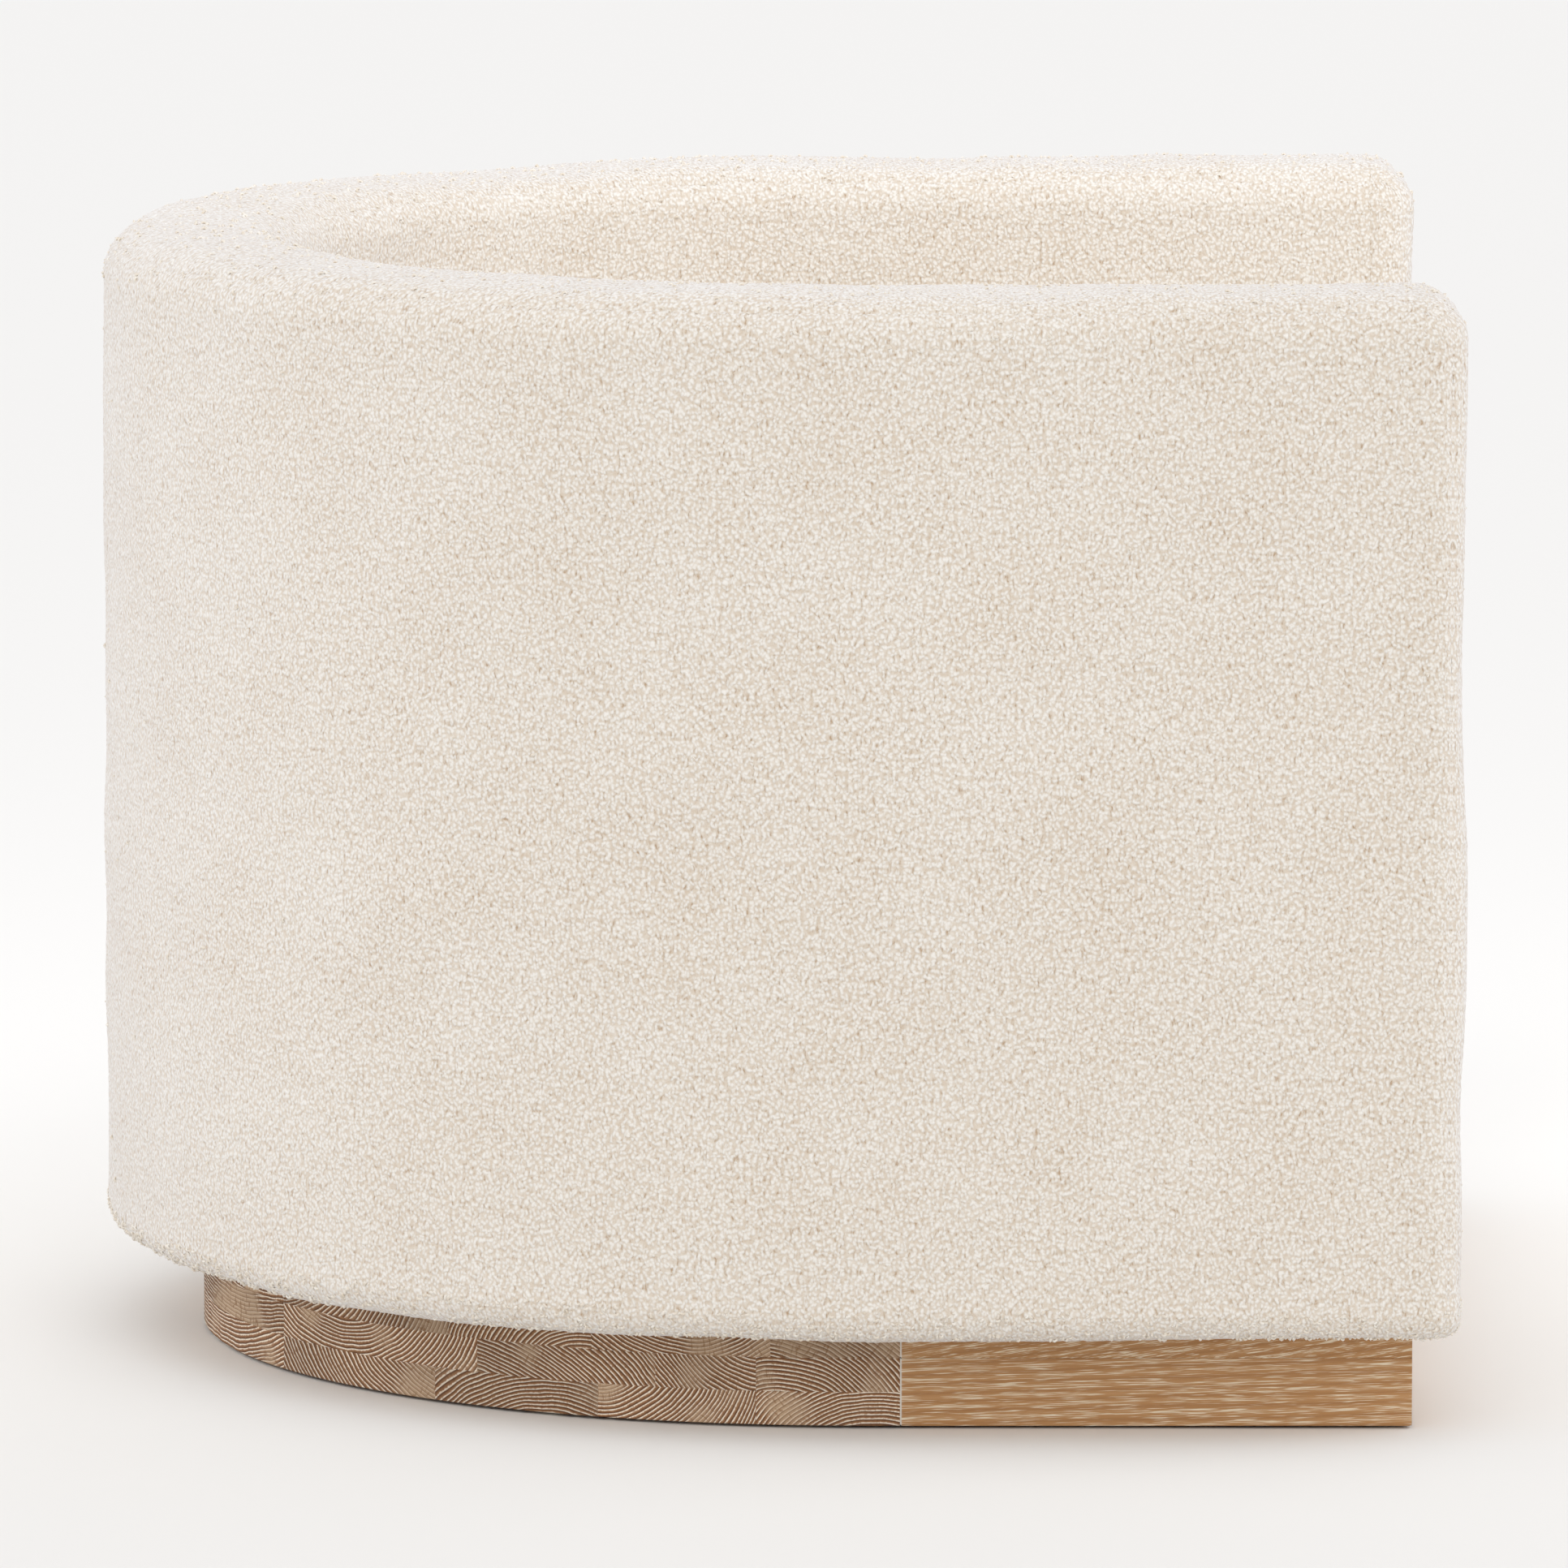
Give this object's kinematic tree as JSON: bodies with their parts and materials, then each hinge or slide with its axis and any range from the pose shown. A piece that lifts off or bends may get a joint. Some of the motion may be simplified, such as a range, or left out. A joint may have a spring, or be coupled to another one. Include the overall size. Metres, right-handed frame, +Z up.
{
  "type": "barrel sofa",
  "caption": "Upholstered barrel sofa: one padded wall of even height curves round a loose seat cushion, on a set-back plinth of laminated oak.",
  "frame": {"origin": "centre of the footprint, on the floor", "axes": "+Z up, -Y towards the open front of the seat, +X towards the right arm seen from behind the sofa"},
  "size_m": [1, 0.8849, 0.735],
  "materials": {
    "oak_end_grain": "matte",
    "oak_long_grain": "matte",
    "beech": "matte",
    "steel": "satin",
    "felt": "matte",
    "lining": "matte",
    "plywood": "matte",
    "webbing": "matte",
    "hessian": "matte",
    "foam": "matte",
    "boucle": "matte",
    "zip_tape": "matte",
    "zip_metal": "satin"
  },
  "bodies": {
    "frame": {"plinth_layer_bottom": "oak_end_grain", "plinth_layer_middle": "oak_end_grain", "plinth_layer_top": "oak_end_grain", "plinth_back_bottom": "oak_end_grain", "plinth_back_middle": "oak_end_grain", "plinth_back_top": "oak_end_grain", "plinth_side_left": "oak_long_grain", "plinth_side_right": "oak_long_grain", "plinth_front": "oak_long_grain", "plinth_dowels": "beech", "corner_blocks": "beech", "front_post_left": "beech", "front_post_right": "beech", "curve_post_1": "beech", "curve_post_2": "beech", "curve_post_3": "beech", "curve_post_4": "beech", "curve_post_5": "beech", "curve_post_6": "beech", "curve_post_7": "beech", "plinth_screws": "steel", "frame_screws": "steel", "floor_glides": "felt", "dust_cover": "lining", "base_board": "plywood", "top_rail": "plywood", "outer_panel": "plywood", "inner_panel": "plywood", "arm_front_board_left": "plywood", "arm_front_board_right": "plywood", "apron_board": "plywood", "seat_rail_front": "plywood", "seat_rail_left": "plywood", "seat_rail_right": "plywood", "seat_rail_back": "plywood", "webbing_lengthwise": "webbing", "webbing_crosswise": "webbing", "hessian": "hessian", "deck_foam": "foam", "outer_foam": "foam", "top_foam": "foam", "back_foam": "foam", "arm_foam_left": "foam", "arm_foam_right": "foam", "arm_front_foam_left": "foam", "arm_front_foam_right": "foam", "apron_foam": "foam", "deck_cover": "boucle", "outside_cover": "boucle", "top_cover": "boucle", "inside_cover": "boucle", "arm_front_cover_left": "boucle", "arm_front_cover_right": "boucle", "apron_cover": "boucle"},
    "seat_cushion": {"cushion_foam": "foam", "cushion_top_panel": "boucle", "cushion_bottom_panel": "boucle", "cushion_boxing": "boucle", "cushion_zip": "zip_tape"},
    "zip_slider": {"zip_slider": "zip_metal"}
  },
  "joints": [
    {"name": "seat_cushion_lift", "type": "slide", "parent": "frame", "child": "seat_cushion", "axis": [0, 0, 1], "range_m": [0, 0.45]},
    {"name": "zip_slider_run", "type": "hinge", "parent": "seat_cushion", "child": "zip_slider", "pos_m": [0, -0.0575, 0.382], "axis": [0, 0, 1], "range_deg": [0, 107]}
  ]
}
